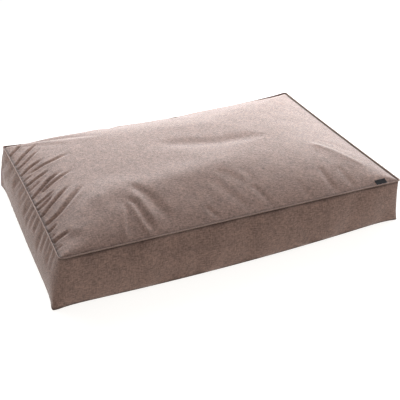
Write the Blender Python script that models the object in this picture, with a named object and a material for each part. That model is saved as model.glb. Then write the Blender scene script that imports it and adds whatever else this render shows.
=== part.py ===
"""Pet cushion bed: a box-edge cover with a long zip, round an inner case stuffed with fibre.

Frame: +X along the length, the zip on the +Y side, +Z up, and the origin on the floor
under the middle of the base. Run it with: blender --background --python part.py
"""

import math

import bmesh
import bpy
from mathutils import Vector

# Cover, measured along its seams
SEAM_LENGTH = 0.985
SEAM_WIDTH = 0.670
BORDER_HEIGHT = 0.143
CORNER_RADIUS = 0.018
CROWN = 0.047            # height of the top panel's middle above its seam
SWELL = 0.006            # how far the border stands outside the seam corners at mid-height
SEAM_BOW = 0.005         # how far the stuffing pulls each seam in at the middle of its side
STRAIGHT_BAND = 0.004    # upright edge of the border beside each seam

# Thicknesses and clearances
CLOTH = 0.0012
CASE_CLOTH = 0.0008
GAP = 0.0003
CASE_INSET = 0.0038      # from the cover's outer face to the inner case
FILL_INSET = CASE_INSET + CASE_CLOTH + GAP

# Welt round the top seam
WELT_WIDTH = 0.0024
WELT_HEIGHT = 0.0030

# Zip in the back border
ZIP_HEIGHT = BORDER_HEIGHT / 2
ZIP_OPENING = 0.014      # height of the slot between the two halves of the back border
CHAIN_HALF = 0.445       # half the length of the coils
TAPE_THICKNESS = 0.0006
TAPE_WIDTH = 0.0120
SPLIT = 0.0010           # from the zip's centre line to the edge of each tape and coil
COIL_WIDTH = 0.0024
COIL_HEIGHT = 0.0016

# Slider and pull
SLIDER_LENGTH = 0.0130
SLIDER_HALF_WIDTH = 0.0048
SLIDER_START = -(CHAIN_HALF - SLIDER_LENGTH / 2 - 0.001)   # where it rests, closed
PLATE = 0.0012
BACK_PLATE = 0.0008
FLANGE = 0.0010
POST_HALF_WIDTH = 0.0006
POST_LENGTH = 0.0040
BAIL_HALF_LENGTH = 0.0042
BAIL_HALF_WIDTH = 0.0010
BAIL_WIRE = 0.0010
BAIL_RISE = 0.0037       # top of the bail above the slider's outer plate
PIVOT_RISE = 0.0012      # the pull's axis above the slider's outer plate
PULL_LENGTH = 0.0240
PULL_WIDTH = 0.0060
PULL_THICKNESS = 0.0010
PULL_BAR = 0.0005        # half the width of the bar that turns in the bail
WINDOW_LENGTH = 0.0075
WINDOW_HALF_WIDTH = 0.0016

# Label sewn into the front seam
LABEL_X = 0.435
LABEL_WIDTH = 0.034
LABEL_LENGTH = 0.015
LABEL_THICKNESS = 0.0008
LABEL_INSET = 0.0018     # from the seam corner line to the label's hinge line
LABEL_RISE = 0.0018
LABEL_TILT = math.radians(17)

# Facets
SIDE_SEGMENTS_LONG = 10
SIDE_SEGMENTS_SHORT = 6
CORNER_SEGMENTS = 4
DOME_SCALES = (0.965, 0.89, 0.76, 0.55, 0.28)
BASE_SCALES = (0.6,)

HALF_LENGTH = SEAM_LENGTH / 2
HALF_WIDTH = SEAM_WIDTH / 2
BACK_FACE = HALF_WIDTH + SWELL
BACK_HALF = HALF_LENGTH - CORNER_RADIUS
TAPE_FACE = BACK_FACE - CLOTH - GAP
SWELL_HEIGHTS = (0.020, 0.040, ZIP_HEIGHT - 0.014)


def clear_scene():
    for old in list(bpy.data.objects):
        bpy.data.objects.remove(old, do_unlink=True)


def make_material(name, colour, roughness, metallic=0.0):
    material = bpy.data.materials.new(name)
    material.use_nodes = True
    shader = material.node_tree.nodes["Principled BSDF"]
    shader.inputs["Base Color"].default_value = (*colour, 1.0)
    shader.inputs["Roughness"].default_value = roughness
    shader.inputs["Metallic"].default_value = metallic
    return material


def add_object(name, mesh_maker, material):
    """One object from a bmesh, with its normals out and its sharp edges kept."""
    mesh = bpy.data.meshes.new(name)
    bmesh.ops.recalc_face_normals(mesh_maker, faces=mesh_maker.faces)
    mesh_maker.to_mesh(mesh)
    mesh_maker.free()
    mesh.materials.append(material)
    mesh.shade_smooth()
    mesh.set_sharp_from_angle(angle=math.radians(35))
    new = bpy.data.objects.new(name, mesh)
    bpy.context.scene.collection.objects.link(new)
    return new


def bulging_pair(bm, a, b, c, d):
    """Two triangles in place of a quad, folded outwards, so that nested layers fold alike."""
    middle = Vector((0, 0, BORDER_HEIGHT / 2))
    if ((a.co + c.co) / 2 - middle).length > ((b.co + d.co) / 2 - middle).length:
        a, b, c, d = b, c, d, a
    bm.faces.new((a, b, d))
    bm.faces.new((b, c, d))


def skin(name, material, loops, ends):
    """A closed body through successive loops of points.

    ends is a pair of tip points, "faces" to close both ends with a face,
    or "joined" where the last loop meets the first.
    """
    bm = bmesh.new()
    rows = [[bm.verts.new(p) for p in loop] for loop in loops]
    pairs = list(zip(rows, rows[1:]))
    if ends == "joined":
        pairs.append((rows[-1], rows[0]))
    for first, second in pairs:
        for i, vertex in enumerate(first):
            j = (i + 1) % len(first)
            bulging_pair(bm, vertex, first[j], second[j], second[i])
    if ends == "faces":
        bm.faces.new(rows[0])
        bm.faces.new(rows[-1])
    elif ends != "joined":
        for tip, row in zip(ends, (rows[0], rows[-1])):
            middle = bm.verts.new(tip)
            for i, vertex in enumerate(row):
                bm.faces.new((middle, vertex, row[(i + 1) % len(row)]))
    return add_object(name, bm, material)


def block(name, material, low, high):
    """A rectangular body between two corners."""
    corners = [(low[0], low[1]), (high[0], low[1]), (high[0], high[1]), (low[0], high[1])]
    loops = [[Vector((x, y, z)) for x, y in corners] for z in (low[2], high[2])]
    return skin(name, material, loops, "faces")


# ---- The outline of the seams, seen from above ----


def bow(along, half):
    """How far a side is pulled in, at a place along it."""
    return SEAM_BOW * (1 - (along / half) ** 2)


def seam_outline():
    """Points round the seam as (point, outward direction, pull-in), counterclockwise.

    The front side comes first, from left to right, and each side ends with its corner.
    """
    points = []
    straight_x = HALF_LENGTH - CORNER_RADIUS
    straight_y = HALF_WIDTH - CORNER_RADIUS
    for quarter in range(4):
        turn = math.radians(90 * quarter)
        long_side = quarter % 2 == 0
        straight = straight_x if long_side else straight_y
        distance = HALF_WIDTH if long_side else HALF_LENGTH
        count = SIDE_SEGMENTS_LONG if long_side else SIDE_SEGMENTS_SHORT
        out = Vector((math.sin(turn), -math.cos(turn), 0))
        forward = Vector((math.cos(turn), math.sin(turn), 0))
        for i in range(count + 1):
            along = straight * (2 * i / count - 1)
            pull = bow(along, straight)
            points.append((forward * along + out * (distance - pull), out, pull))
        centre = forward * straight + out * (distance - CORNER_RADIUS)
        for i in range(1, CORNER_SEGMENTS):
            angle = math.radians(90) * i / CORNER_SEGMENTS
            direction = out * math.cos(angle) + forward * math.sin(angle)
            points.append((centre + direction * CORNER_RADIUS, direction, 0.0))
    return points


OUTLINE = seam_outline()
FRONT_POINTS = SIDE_SEGMENTS_LONG + CORNER_SEGMENTS
END_POINTS = SIDE_SEGMENTS_SHORT + CORNER_SEGMENTS
BACK_START = FRONT_POINTS + END_POINTS
BACK_POINTS = range(BACK_START, BACK_START + SIDE_SEGMENTS_LONG + 1)


def swell_at(z):
    """The border's profile, from 0 at the seams to 1 over its middle."""
    height = min(z, BORDER_HEIGHT - z)
    if height <= STRAIGHT_BAND:
        return 0.0
    if height >= SWELL_HEIGHTS[-1]:
        return 1.0
    share = (height - STRAIGHT_BAND) / (SWELL_HEIGHTS[-1] - STRAIGHT_BAND)
    return math.sin(share * math.pi / 2)


def border_point(index, z, inset=0.0):
    """A point on the border's outer face, or set in from it."""
    point, out, pull = OUTLINE[index % len(OUTLINE)]
    moved = point + out * (swell_at(z) * (SWELL + pull) - inset)
    return Vector((moved.x, moved.y, z))


def border_ring(z, inset=0.0):
    return [border_point(i, z, inset) for i in range(len(OUTLINE))]


def crown_at(x_share, y_share):
    """The dome's height, from 1 in the middle to 0 along the seam."""
    return (1 - abs(x_share) ** 5) * (1 - abs(y_share) ** 4)


def dome_ring(scale, inset):
    """A ring of the top surface, at a share of the way out from its middle to the seam."""
    ring = []
    for point, out, _ in OUTLINE:
        edge = point - out * inset
        x_share, y_share = edge.x / HALF_LENGTH, edge.y / HALF_WIDTH
        reach = max(abs(x_share), abs(y_share))
        rise = CROWN * crown_at(scale * x_share / reach, scale * y_share / reach)
        ring.append(Vector((edge.x * scale, edge.y * scale, BORDER_HEIGHT - inset + rise)))
    return ring


def base_ring(scale, inset):
    return [Vector((p.x * scale, p.y * scale, inset)) for p in border_ring(inset, inset)]


def side_heights(low, high):
    """The heights where the border's profile bends, between two limits."""
    bends = sorted({*SWELL_HEIGHTS, *(BORDER_HEIGHT - h for h in SWELL_HEIGHTS)})
    edges = {STRAIGHT_BAND, BORDER_HEIGHT - STRAIGHT_BAND}
    inside = [h for h in sorted({*bends, *edges}) if low + GAP < h < high - GAP]
    return [low, *inside, high]


# ---- The cover ----


def make_top_panel(cloth):
    scales = (1.0, *DOME_SCALES)
    outer = [dome_ring(s, 0.0) for s in reversed(scales)]
    inner = [[p - Vector((0, 0, CLOTH)) for p in dome_ring(s, 0.0)] for s in scales]
    top = Vector((0, 0, BORDER_HEIGHT + CROWN))
    return skin("top_panel", cloth, outer + inner, (top, top - Vector((0, 0, CLOTH))))


def make_bottom_panel(cloth):
    loops = [border_ring(0.0), [p + Vector((0, 0, CLOTH)) for p in border_ring(0.0)]]
    return skin("bottom_panel", cloth, loops, "faces")


def make_border(name, cloth, indices, low, high):
    """A strip of the border along part of the outline, between two heights."""
    heights = side_heights(low, high)
    sections = []
    for i in indices:
        outer = [border_point(i, z) for z in heights]
        inner = [border_point(i, z, CLOTH) for z in reversed(heights)]
        sections.append(outer + inner)
    for end, inward in ((0, 1), (-1, -2)):
        pairs = list(zip(sections[end], sections[inward]))
        sections[end] = [p + (q - p).normalized() * GAP / 2 for p, q in pairs]
    return skin(name, cloth, sections, "faces")


def make_welt(cloth):
    sections = []
    for i in range(len(OUTLINE)):
        low = BORDER_HEIGHT - WELT_HEIGHT / 2
        high = BORDER_HEIGHT + WELT_HEIGHT / 2
        base = border_point(i, BORDER_HEIGHT, -GAP)
        edge = border_point(i, BORDER_HEIGHT, -GAP - WELT_WIDTH)
        sections.append(
            [
                Vector((base.x, base.y, low)),
                Vector((edge.x, edge.y, low)),
                Vector((edge.x, edge.y, high)),
                Vector((base.x, base.y, high)),
            ]
        )
    return skin("top_welt", cloth, sections, "joined")


def make_label(cloth):
    """The label on its hinge line at the seam, lying on the slope of the top panel."""
    low = (-LABEL_WIDTH / 2, 0.0, -LABEL_THICKNESS / 2)
    high = (LABEL_WIDTH / 2, LABEL_LENGTH, LABEL_THICKNESS / 2)
    label = block("label_tag", cloth, low, high)
    label.location = (LABEL_X, -HALF_WIDTH + LABEL_INSET, BORDER_HEIGHT + LABEL_RISE)
    label.rotation_euler = (LABEL_TILT, 0, 0)
    return label


# ---- The zip ----


def make_tape(name, material, side):
    """One tape, behind the border's edge; side is 1 above the centre line and -1 below."""
    near, far = ZIP_HEIGHT + side * SPLIT, ZIP_HEIGHT + side * (SPLIT + TAPE_WIDTH)
    reach = BACK_HALF - GAP
    low = (-reach, TAPE_FACE - TAPE_THICKNESS, min(near, far))
    high = (reach, TAPE_FACE, max(near, far))
    return block(name, material, low, high)


def make_coil(name, material, side):
    """One coil, as a bar with a rounded outer face, lying on its tape."""
    foot = TAPE_FACE + GAP
    middle = ZIP_HEIGHT + side * (SPLIT + COIL_WIDTH / 2)
    profile = [(-COIL_WIDTH / 2, 0.0), (COIL_WIDTH / 2, 0.0)]
    steps = 6
    for i in range(steps + 1):
        angle = math.pi * i / steps
        rise = COIL_HEIGHT * (0.4 + 0.6 * math.sin(angle))
        profile.append((COIL_WIDTH / 2 * math.cos(angle), rise))
    loops = [
        [Vector((x, foot + y, middle + z)) for z, y in profile]
        for x in (-CHAIN_HALF, CHAIN_HALF)
    ]
    return skin(name, material, loops, "faces")


def make_end_tab(name, cloth, side):
    """The cloth that closes the border's slot past one end of the coils."""
    half = ZIP_OPENING / 2 - GAP
    near = side * (CHAIN_HALF + GAP)
    far = side * (BACK_HALF - GAP / 2)
    low = (min(near, far), BACK_FACE - CLOTH, ZIP_HEIGHT - half)
    high = (max(near, far), BACK_FACE, ZIP_HEIGHT + half)
    return block(name, cloth, low, high)


def join_into(body, others):
    """A Boolean union of helper bodies into one object."""
    for other in others:
        other.hide_render = True
        other.display_type = "WIRE"
        union = body.modifiers.new(other.name, "BOOLEAN")
        union.operation = "UNION"
        union.object = other
        other.parent = body


def make_bail(name, metal):
    """The arch on the slider that holds the pull, drawn along X and swept along Z."""
    sink = BAIL_WIRE / 2
    steps = 8

    def arch(half_length, top):
        rise = top + sink
        curve = [
            (half_length * math.cos(a), -sink + rise * math.sin(a) ** 0.6)
            for a in (math.pi * i / steps for i in range(steps + 1))
        ]
        return curve

    outer = arch(BAIL_HALF_LENGTH, BAIL_RISE)
    inner = arch(BAIL_HALF_LENGTH - BAIL_WIRE, BAIL_RISE - BAIL_WIRE)
    bm = bmesh.new()
    rows = []
    for z in (-BAIL_HALF_WIDTH, BAIL_HALF_WIDTH):
        rows.append([[bm.verts.new((x, PLATE + y, z)) for x, y in c] for c in (outer, inner)])
    (low_out, low_in), (high_out, high_in) = rows
    for i in range(steps):
        for a, b in ((low_out, high_out), (low_in, high_in), (low_out, low_in), (high_out, high_in)):
            bm.faces.new((a[i], a[i + 1], b[i + 1], b[i]))
    for i in (0, steps):
        bm.faces.new((low_out[i], low_in[i], high_in[i], high_out[i]))
    return add_object(name, bm, metal)


def make_slider(metal):
    """The slider's origin is on the zip's centre line, under its outer plate."""
    half_length = SLIDER_LENGTH / 2
    floor = BACK_FACE + 0.0007
    slider = block(
        "zip_slider",
        metal,
        (-half_length, 0.0, -SLIDER_HALF_WIDTH),
        (half_length, PLATE, SLIDER_HALF_WIDTH),
    )
    flange_foot = TAPE_FACE + GAP - floor
    back_top = TAPE_FACE - TAPE_THICKNESS - GAP - floor
    overlap = PLATE / 2
    helpers = []
    for side in (-1, 1):
        edges = sorted((side * SLIDER_HALF_WIDTH, side * (SLIDER_HALF_WIDTH - FLANGE)))
        helpers.append(
            block(
                "slider_flange",
                metal,
                (-half_length + GAP, flange_foot, edges[0] + GAP / 3),
                (half_length - GAP, overlap, edges[1] - GAP / 3),
            )
        )
    helpers.append(
        block(
            "slider_back_plate",
            metal,
            (-half_length, back_top - BACK_PLATE, -SLIDER_HALF_WIDTH),
            (half_length, back_top, SLIDER_HALF_WIDTH),
        )
    )
    helpers.append(
        block(
            "slider_post",
            metal,
            (half_length - POST_LENGTH - GAP, back_top - BACK_PLATE / 2, -POST_HALF_WIDTH),
            (half_length - GAP, overlap, POST_HALF_WIDTH),
        )
    )
    helpers.append(make_bail("slider_bail", metal))
    join_into(slider, helpers)
    slider.location = (SLIDER_START, floor, ZIP_HEIGHT)
    return slider


def make_pull(metal, slider):
    """The pull's origin is on the axis where it turns, inside the slider's bail."""
    half = PULL_THICKNESS / 2
    length, width = PULL_LENGTH, PULL_WIDTH / 2
    round_steps = 8
    outline = [(-PULL_BAR, -width), (length - width, -width)]
    for i in range(1, round_steps):
        angle = math.pi * (i / round_steps - 0.5)
        outline.append((length - width + width * math.cos(angle), width * math.sin(angle)))
    outline += [(length - width, width), (-PULL_BAR, width)]
    loops = [[Vector((x, y, z)) for x, z in outline] for y in (-half, half)]
    pull = skin("zip_pull", metal, loops, "faces")
    window = block(
        "pull_window",
        metal,
        (PULL_BAR, -PULL_THICKNESS, -WINDOW_HALF_WIDTH),
        (WINDOW_LENGTH, PULL_THICKNESS, WINDOW_HALF_WIDTH),
    )
    window.hide_render = True
    window.display_type = "WIRE"
    window.parent = pull
    cut = pull.modifiers.new("window", "BOOLEAN")
    cut.operation = "DIFFERENCE"
    cut.object = window
    pull.location = slider.location + Vector((0, PLATE + PIVOT_RISE, 0))
    return pull


# ---- The inner cushion ----


def make_inner_case(cloth):
    """Two halves that meet at mid-height."""
    middle = BORDER_HEIGHT / 2
    inner_inset = CASE_INSET + CASE_CLOTH
    tops, bottoms = [], []
    for inset in (CASE_INSET, inner_inset):
        heights = side_heights(middle + GAP / 2, BORDER_HEIGHT - inset)
        dome = [dome_ring(s, inset) for s in reversed(DOME_SCALES)]
        tops.append(dome + [border_ring(z, inset) for z in reversed(heights)])
        heights = side_heights(inset, middle - GAP / 2)
        base = [base_ring(s, inset) for s in BASE_SCALES]
        bottoms.append(base + [border_ring(z, inset) for z in heights])
    top_tips = [Vector((0, 0, BORDER_HEIGHT + CROWN - i)) for i in (CASE_INSET, inner_inset)]
    base_tips = [Vector((0, 0, i)) for i in (CASE_INSET, inner_inset)]
    skin("inner_case_upper", cloth, tops[0] + tops[1][::-1], top_tips)
    skin("inner_case_lower", cloth, bottoms[0] + bottoms[1][::-1], base_tips)


def make_fill(fibre):
    heights = side_heights(FILL_INSET, BORDER_HEIGHT - FILL_INSET)
    loops = [dome_ring(s, FILL_INSET) for s in reversed(DOME_SCALES)]
    loops += [border_ring(z, FILL_INSET) for z in reversed(heights)]
    loops += [base_ring(s, FILL_INSET) for s in BASE_SCALES]
    tips = (Vector((0, 0, BORDER_HEIGHT + CROWN - FILL_INSET)), Vector((0, 0, FILL_INSET)))
    return skin("fibre_fill", fibre, loops, tips)


def build():
    clear_scene()
    cloth = make_material("cover_cloth", (0.300, 0.225, 0.198), 0.95)
    welt = make_material("welt_cloth", (0.330, 0.250, 0.222), 0.95)
    label = make_material("label_cloth", (0.008, 0.007, 0.008), 0.85)
    tape = make_material("zip_tape_cloth", (0.150, 0.112, 0.100), 0.90)
    coil = make_material("zip_coil_plastic", (0.130, 0.098, 0.088), 0.45)
    metal = make_material("zip_metal", (0.090, 0.075, 0.070), 0.35, 1.0)
    case = make_material("inner_case_cloth", (0.780, 0.770, 0.740), 0.95)
    fibre = make_material("fill_fibre", (0.850, 0.850, 0.830), 1.00)

    low, high = CLOTH + GAP, BORDER_HEIGHT - CLOTH - GAP
    slot_low, slot_high = ZIP_HEIGHT - ZIP_OPENING / 2, ZIP_HEIGHT + ZIP_OPENING / 2
    rest = range(BACK_POINTS[-1], BACK_POINTS[0] + len(OUTLINE) + 1)

    make_top_panel(cloth)
    make_bottom_panel(cloth)
    make_border("side_border", cloth, rest, low, high)
    make_border("back_border_lower", cloth, BACK_POINTS, low, slot_low)
    make_border("back_border_upper", cloth, BACK_POINTS, slot_high, high)
    make_welt(welt)
    make_label(label)
    for name, side in (("upper", 1), ("lower", -1)):
        make_tape(f"zip_tape_{name}", tape, side)
        make_coil(f"zip_coil_{name}", coil, side)
    for name, side in (("left", -1), ("right", 1)):
        make_end_tab(f"zip_end_tab_{name}", cloth, side)
    slider = make_slider(metal)
    make_pull(metal, slider)
    make_inner_case(case)
    make_fill(fibre)


build()
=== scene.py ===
"""Looks of the pet cushion bed: a sewn box-edge cover, pulled over a stuffed inner cushion.

The cover is one cloth surface while it is shaped and inflated, with its seams held, and it is
then cut into its panels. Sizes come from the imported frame, and everything is in metres.
"""

import math

import bpy
import numpy as np
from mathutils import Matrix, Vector, noise
from mathutils.bvhtree import BVHTree
from mathutils.kdtree import KDTree


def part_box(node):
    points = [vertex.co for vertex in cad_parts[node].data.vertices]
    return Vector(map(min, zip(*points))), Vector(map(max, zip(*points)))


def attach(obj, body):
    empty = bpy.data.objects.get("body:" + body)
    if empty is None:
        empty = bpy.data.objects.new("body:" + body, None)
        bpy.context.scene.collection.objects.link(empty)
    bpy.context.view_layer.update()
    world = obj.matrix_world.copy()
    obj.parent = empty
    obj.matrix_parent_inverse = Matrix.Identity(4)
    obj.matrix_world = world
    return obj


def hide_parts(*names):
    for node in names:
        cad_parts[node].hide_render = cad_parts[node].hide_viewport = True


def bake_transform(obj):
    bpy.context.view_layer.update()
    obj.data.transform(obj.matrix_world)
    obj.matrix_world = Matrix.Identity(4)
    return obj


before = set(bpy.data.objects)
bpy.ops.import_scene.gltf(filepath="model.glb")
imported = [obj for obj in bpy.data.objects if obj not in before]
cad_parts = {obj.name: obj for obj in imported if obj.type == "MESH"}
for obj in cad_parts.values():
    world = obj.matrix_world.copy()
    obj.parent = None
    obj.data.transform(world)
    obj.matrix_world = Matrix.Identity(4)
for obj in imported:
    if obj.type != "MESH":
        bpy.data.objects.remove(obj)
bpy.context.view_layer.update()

# ---- Sizes read from the frame ----
HALF_X, HALF_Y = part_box("bottom_panel")[1].xy
SEAM_Z = (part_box("top_welt")[0].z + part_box("top_welt")[1].z) / 2
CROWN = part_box("top_panel")[1].z - SEAM_Z
BACK_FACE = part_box("back_border_upper")[1].y
BACK_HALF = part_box("back_border_upper")[1].x
SLOT_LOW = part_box("back_border_lower")[1].z
SLOT_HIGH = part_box("back_border_upper")[0].z
ZIP_Z = (SLOT_LOW + SLOT_HIGH) / 2
CASE_INSET = HALF_X + 0.006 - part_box("inner_case_upper")[1].x
FILL_INSET = HALF_X + 0.006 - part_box("fibre_fill")[1].x

# ---- The cover's grid ----
CELLS_X = 128            # along the front and back
CELLS_Y = 96             # along the ends
CROWDING = 0.17          # how far the columns crowd towards the gathered end
NEAR_SEAM = (0.0022, 0.0055, 0.0100)    # rows this far from each seam
BORDER_CELL = 0.0080
ROWS_SLOT = 2
CLOTH = 0.0010

# ---- The crown ----
BACK_STEEPNESS = 9.0     # how sharply it rises from each seam
FRONT_STEEPNESS = 2.8
LEFT_STEEPNESS = 6.0
RIGHT_STEEPNESS = 4.5
INFLATION = 0.0070       # how much it rises when the cloth is inflated
MOST_MOVE = 0.012        # no point moves further than this when it is inflated

# ---- Seams: front, right, back, left ----
TOP_RADII = (0.013, 0.007, 0.008, 0.009)        # corner before each side, from the front left
BASE_RADII = (0.016, 0.010, 0.016, 0.018)
TOP_BOWS = (0.0010, 0.0025, 0.0080, 0.0040)     # how far each side is pulled in
BASE_BOWS = (-0.0200, 0.0020, 0.0020, -0.0030)
TOP_SAGS = (0.0005, 0.0000, 0.0125, 0.0010)     # how far each side hangs below its corners
# Where each corner sits off the plan's own corner: front left, front right, back right, back left
TOP_SHIFTS = ((0.0066, -0.0002, 0.0004), (-0.0030, -0.0023, -0.0017),
              (0.0024, 0.0004, 0.0009), (0.0050, -0.0133, -0.0040))
BASE_SHIFTS = ((-0.0175, 0.0010, 0.0), (0.0060, 0.0165, 0.0),
               (-0.0020, 0.0000, 0.0), (-0.0090, 0.0030, 0.0))
TOP_EAR = 0.001          # how far the corners are drawn out
BASE_EAR = 0.014
EAR_REACH = 0.025
SAG_POWER = 0.4          # below 1, a side hangs evenly between corners that stand up sharply
SEAM_DEPTH = 0.0036      # how far the top seam sinks between the cloth on its two sides
SEAM_IN = 0.0022         # how far it is drawn in from the border
SEAM_ROUNDING = 0.0032   # how far from the seam the cloth rounds over
BASE_LIFT = 0.0012       # how far the bottom seam clears the floor
BASE_LIFT_REACH = 0.025

# ---- Border ----
CORNER_SWELL = 0.0035    # how far it stands out at half height, at the corners and in mid side
MIDDLE_SWELL = 0.0080
SWELL_SHARE = 0.35       # the share of half a side over which the swelling grows
SWELL_POWER = 0.75       # below 1, it swells early above the bottom seam
CORNER_CUT = (0.006, 0.005, 0.0, 0.0)   # how far each corner is rounded off at half height
CUT_REACH = 0.026
ZIP_FLAT = (0.012, 0.008)               # flat cloth past the slot's ends, and above and below it
ZIP_RUN_OUT = (0.010, 0.022)            # how far the border takes to curve away from there

# ---- Unevenness of the cloth ----
SEED = 7
UNEVEN = 0.0003          # soft unevenness all over, and the size of its waves
UNEVEN_WAVE = 0.045
PUCKER = 0.0005          # puckers beside the seams, and how much deeper they are at the left end
PUCKER_WAVE = 0.011
PUCKER_REACH = 0.010
END_PUCKER = 0.0010
END_START = (-0.44, 0.03)               # where the left end starts, and how gradually
FOLD_HOLD = 0.006        # folds fade out this close to a seam
BROAD_HOLD = 0.012
WAVE_HOLD = 0.020
FACING = (0.75, 0.2)     # a border's folds start where its normal leans this far, and how gradually
TOP_PAINTED_SHADE_REACH = 0.0062                # how far the painted shade in the crease beside a seam reaches
BORDER_PAINTED_SHADE_REACH = 0.0042

# ---- Small pieces ----
WELT_RADIUS = 0.0018
WELT_OUT = 0.0018
WELT_UP = 0.0028
WELT_ROOT = (-0.0006, -0.0012)  # where its folded edge goes down between the two panels
WELT_STEP = 0.0035
WELT_GIRTH_STEP = 0.0009
THREAD_RADIUS = 0.00032
STITCH = 0.0030
STITCH_GAP = 0.0009
ZIP_STITCH_MARGIN = 0.003
LABEL_CLOTH = 0.0007
LABEL_TUCK = 0.002       # how much of it runs forward under the welt
LABEL_GAP = 0.0004
LABEL_CURL = 0.0010      # how far its free edge lifts
TOOTH_PITCH = 0.0016
TOOTH_OVERLAP = 0.0006
WIRE_RADIUS = 0.00032
TAB_CLOTH = 0.0012
TAB_MARGIN = 0.0035      # how far an end tab reaches past its CAD solid, up and down
METAL_EDGE = 0.0003

# ---- Inner cushion ----
CASE_CLOTH = 0.0006
FLOOR_REACH = 0.020      # below this height it is drawn in further, by this much
FLOOR_INSET = 0.009
FILL_SETTLE = 0.0012     # the fibre keeps this far in from its inset
TUFTS = 0.0010           # its lumps, and the size of their waves
TUFT_WAVE = 0.035

# ---- Colours, linear ----
CANVAS = (0.206, 0.123, 0.094)
# The welt is the canvas's own cloth, painted lighter: a painted highlight for the light catching its ridge
WELT_PAINTED_LIGHTER = (0.255, 0.172, 0.142)
TAPE = (0.110, 0.082, 0.072)
LABEL = (0.012, 0.010, 0.012)
LINING = (0.780, 0.770, 0.740)
ZINC = (0.060, 0.052, 0.050)
BARE_METAL = (0.420, 0.380, 0.350)
SHEEN = (1.0, 0.92, 0.90)
TONE_GAIN = 3.6          # contrast between yarns, and of soft patches over them
CLOUD_GAIN = 0.5
SEAM_PAINTED_SHADE = 0.86        # how dark the painted shade in the crease beside a seam is
FLOOR_COLOUR = (0.30, 0.30, 0.30)
FLOOR_LIGHT = (1.0, 0.985, 0.96)

# ---- Camera and light ----
CAMERA_AZIMUTH = -23.54
CAMERA_ELEVATION = 30.65
CAMERA_DISTANCE = 2.256
CAMERA_TARGET = (-0.0192, -0.1029, 0.0687)
CAMERA_LENS = 70.76
SKY_COLOUR = (1.0, 1.0, 1.0)
SKY_STRENGTH = 0.28
FLOOR_GLOW = 0.88
FLOOR_HALF = 12.0
FLOOR_DROP = 0.001
LIGHT_TARGET = (0, 0, 0.1)
# name, azimuth, elevation, distance, size, watts, colour
LIGHTS = (
    ("back_window", 152, 20, 1.8, (3.6, 0.9), 108, (0.91, 0.965, 1.0)),
    ("left_window", -153, 48, 2.0, (1.8, 1.0), 25, (0.98, 0.98, 1.0)),
    ("right_window", 84, 38, 2.6, (2.0, 1.2), 30, (1.0, 0.98, 0.98)),
)


def smooth(t):
    """0 below 0, 1 above 1, and an even rise between."""
    t = np.clip(t, 0.0, 1.0)
    return t * t * (3 - 2 * t)


# ---- Seam lines ----


def side_run(spacing, along, out, first_radius, last_radius):
    """One side of the plan, from the middle of a corner's arc to the middle of the next."""
    first_arc, last_arc = first_radius * math.pi / 4, last_radius * math.pi / 4
    straight = 2 * along - first_radius - last_radius
    s = spacing * (first_arc + straight + last_arc)
    lead = math.pi / 4 - np.clip(s / first_radius, 0, math.pi / 4)
    trail = np.clip((s - first_arc - straight) / last_radius, 0, math.pi / 4)
    place = np.clip(s - first_arc, 0, straight) - along + first_radius
    place += last_radius * np.sin(trail) - first_radius * np.sin(lead)
    reach = out - first_radius * (1 - np.cos(lead)) - last_radius * (1 - np.cos(trail))
    return place, reach


def spacings():
    """Where the grid's columns and rows fall; the columns crowd towards the gathered end."""
    lines = []
    for cells, length in ((CELLS_X, 2 * HALF_X), (CELLS_Y, 2 * HALF_Y)):
        near = np.array((0.0, *NEAR_SEAM)) / length
        t = np.linspace(0, 1, cells + 1)
        if cells == CELLS_X:
            t = t - CROWDING * np.sin(math.pi * t) * (1 - t)
        inner = near[-1] + (1 - 2 * near[-1]) * t
        lines.append(np.concatenate([near[:-1], inner, 1 - near[-2::-1]]))
    return lines


def seam_line(radii, bows, sags, shifts, height, ear):
    """Four arrays of points: front, right, back and left, counterclockwise."""
    columns, rows = spacings()
    steps = (columns, rows, 1 - columns[::-1], 1 - rows[::-1])
    sides = []
    for k in range(4):
        along, out = (HALF_X, HALF_Y) if k % 2 == 0 else (HALF_Y, HALF_X)
        place, reach = side_run(steps[k], along, out, radii[k], radii[(k + 1) % 4])
        arch = np.clip(1 - (place / along) ** 2, 0, 1)
        reach = reach - bows[k] * arch
        turn = math.radians(90 * k)
        x = place * math.cos(turn) + reach * math.sin(turn)
        y = place * math.sin(turn) - reach * math.cos(turn)
        points = np.stack([x, y, height - sags[k] * arch**SAG_POWER], axis=1)
        near_corner = np.exp(-np.abs(along - np.abs(place)) / EAR_REACH)[:, None]
        points += ear * near_corner * np.sign(points * (1, 1, 0))
        sides.append(points + corner_blend(points, shifts))
    return sides


def corner_blend(points, shifts):
    """The corners' shifts, spread evenly over the plan between them."""
    right = (1 + points[:, :1] / HALF_X) / 2
    back = (1 + points[:, 1:2] / HALF_Y) / 2
    front_left, front_right, back_right, back_left = (np.array(s) for s in shifts)
    near = front_left * (1 - right) + front_right * right
    far = back_left * (1 - right) + back_right * right
    return near * (1 - back) + far * back


def closed(sides):
    """The four sides as one ring, each point once."""
    return np.concatenate([side[:-1] for side in sides])


def outward(ring):
    """Level unit vectors pointing out of a counterclockwise ring."""
    tangent = np.roll(ring, -1, axis=0) - np.roll(ring, 1, axis=0)
    normal = np.stack([tangent[:, 1], -tangent[:, 0], np.zeros(len(ring))], axis=1)
    return normal / np.linalg.norm(normal, axis=1, keepdims=True)


# ---- Folds ----


def run_along(line):
    """How far along a line each of its points is."""
    return np.concatenate([[0], np.linalg.norm(np.diff(line, axis=0), axis=1).cumsum()])


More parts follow.
